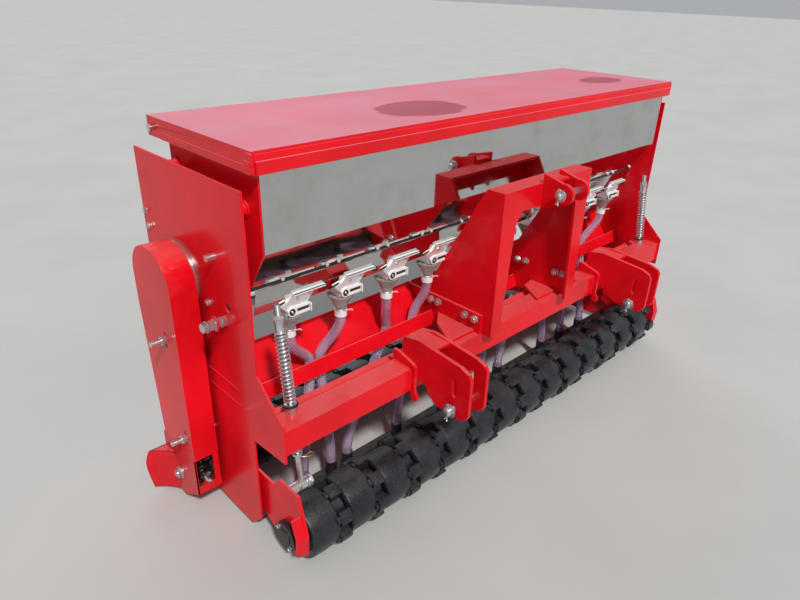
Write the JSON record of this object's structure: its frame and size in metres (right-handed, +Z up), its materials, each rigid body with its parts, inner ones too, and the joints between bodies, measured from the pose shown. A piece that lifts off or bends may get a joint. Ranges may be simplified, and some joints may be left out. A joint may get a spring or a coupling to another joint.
{
  "type": "seed drill",
  "caption": "Roller seed drill for a three-point hitch: lidded seed box, metering units, clear seed tubes, sprung lugged front roller, lugged rear roller driving the feed shaft by chain.",
  "frame": {"origin": "centre of the machine's box on the ground", "axes": "+X along the rollers to the machine's plain end, -Y to the tractor, +Z up"},
  "size_m": [1.737, 0.693, 0.92],
  "materials": {
    "black_rings": "matt black with brown dust",
    "clear_tube": "clear flexible tube, slightly violet",
    "dark_steel": "dark, greasy",
    "lid_paint": "red paint under pale dust",
    "plated_steel": "bright satin",
    "red_paint": "glossy red paint, dusty on level faces",
    "spring_steel": "zinc plated wire",
    "stainless": "polished",
    "white_plastic": "white clips",
    "zinc": "zinc plated"
  },
  "bodies": {
    "chassis": {"side_plate_left": "red_paint", "side_plate_right": "red_paint", "front_beam": "red_paint", "rear_beam": "red_paint", "cross_strip": "red_paint", "deflector": "red_paint", "hopper_shell": "stainless", "hopper_ends": "red_paint", "lid_pins": "zinc", "mast_left": "red_paint", "mast_right": "red_paint", "mast_head": "red_paint", "mast_gussets": "red_paint", "tie_bars": "red_paint", "top_pin": "zinc", "link_bracket_left": "red_paint", "link_bracket_right": "red_paint", "link_pin_left": "zinc", "link_pin_right": "zinc", "meter_bodies": "plated_steel", "meter_levers": "plated_steel", "slide_bar": "dark_steel", "tube_collars": "white_plastic", "seed_tubes": "clear_tube", "boot_bar": "dark_steel", "seed_boots": "dark_steel", "arm_left": "red_paint", "arm_right": "red_paint", "spring_rods": "zinc", "springs": "spring_steel", "roller_bearings": "dark_steel", "chain": "dark_steel", "inner_chain": "dark_steel", "chain_guard": "red_paint", "guard_foot": "red_paint", "guard_studs": "zinc"},
    "front_roller": {"front_rings": "black_rings", "front_shaft": "dark_steel"},
    "rear_roller": {"rear_rings": "black_rings", "rear_shaft": "dark_steel", "drive_sprockets": "dark_steel"},
    "idler": {"idler_shaft": "zinc"},
    "feed": {"feed_shaft": "zinc"},
    "lid_body": {"lid": "lid_paint"}
  },
  "joints": [
    {"name": "lid_hinge", "type": "hinge", "parent": "chassis", "child": "lid_body", "pos_m": [0.0585, 0.2815, 0.897], "axis": [1, 0, 0], "range_deg": [-95, 0]},
    {"name": "front_roller_spin", "type": "hinge", "parent": "chassis", "child": "front_roller", "pos_m": [0.0585, -0.1535, 0.079], "axis": [1, 0, 0], "continuous": true},
    {"name": "rear_roller_spin", "type": "hinge", "parent": "chassis", "child": "rear_roller", "pos_m": [0.0585, 0.1915, 0.079], "axis": [1, 0, 0], "continuous": true},
    {"name": "idler_spin", "type": "hinge", "parent": "chassis", "child": "idler", "pos_m": [0.0585, 0.1915, 0.6], "axis": [1, 0, 0], "continuous": true},
    {"name": "feed_spin", "type": "hinge", "parent": "chassis", "child": "feed", "pos_m": [0.0585, -0.0035, 0.59], "axis": [1, 0, 0], "continuous": true}
  ],
  "couplings": [
    {"joint": "idler_spin", "follows": "rear_roller_spin", "ratio": 0.5625},
    {"joint": "feed_spin", "follows": "rear_roller_spin", "ratio": 0.5625}
  ]
}
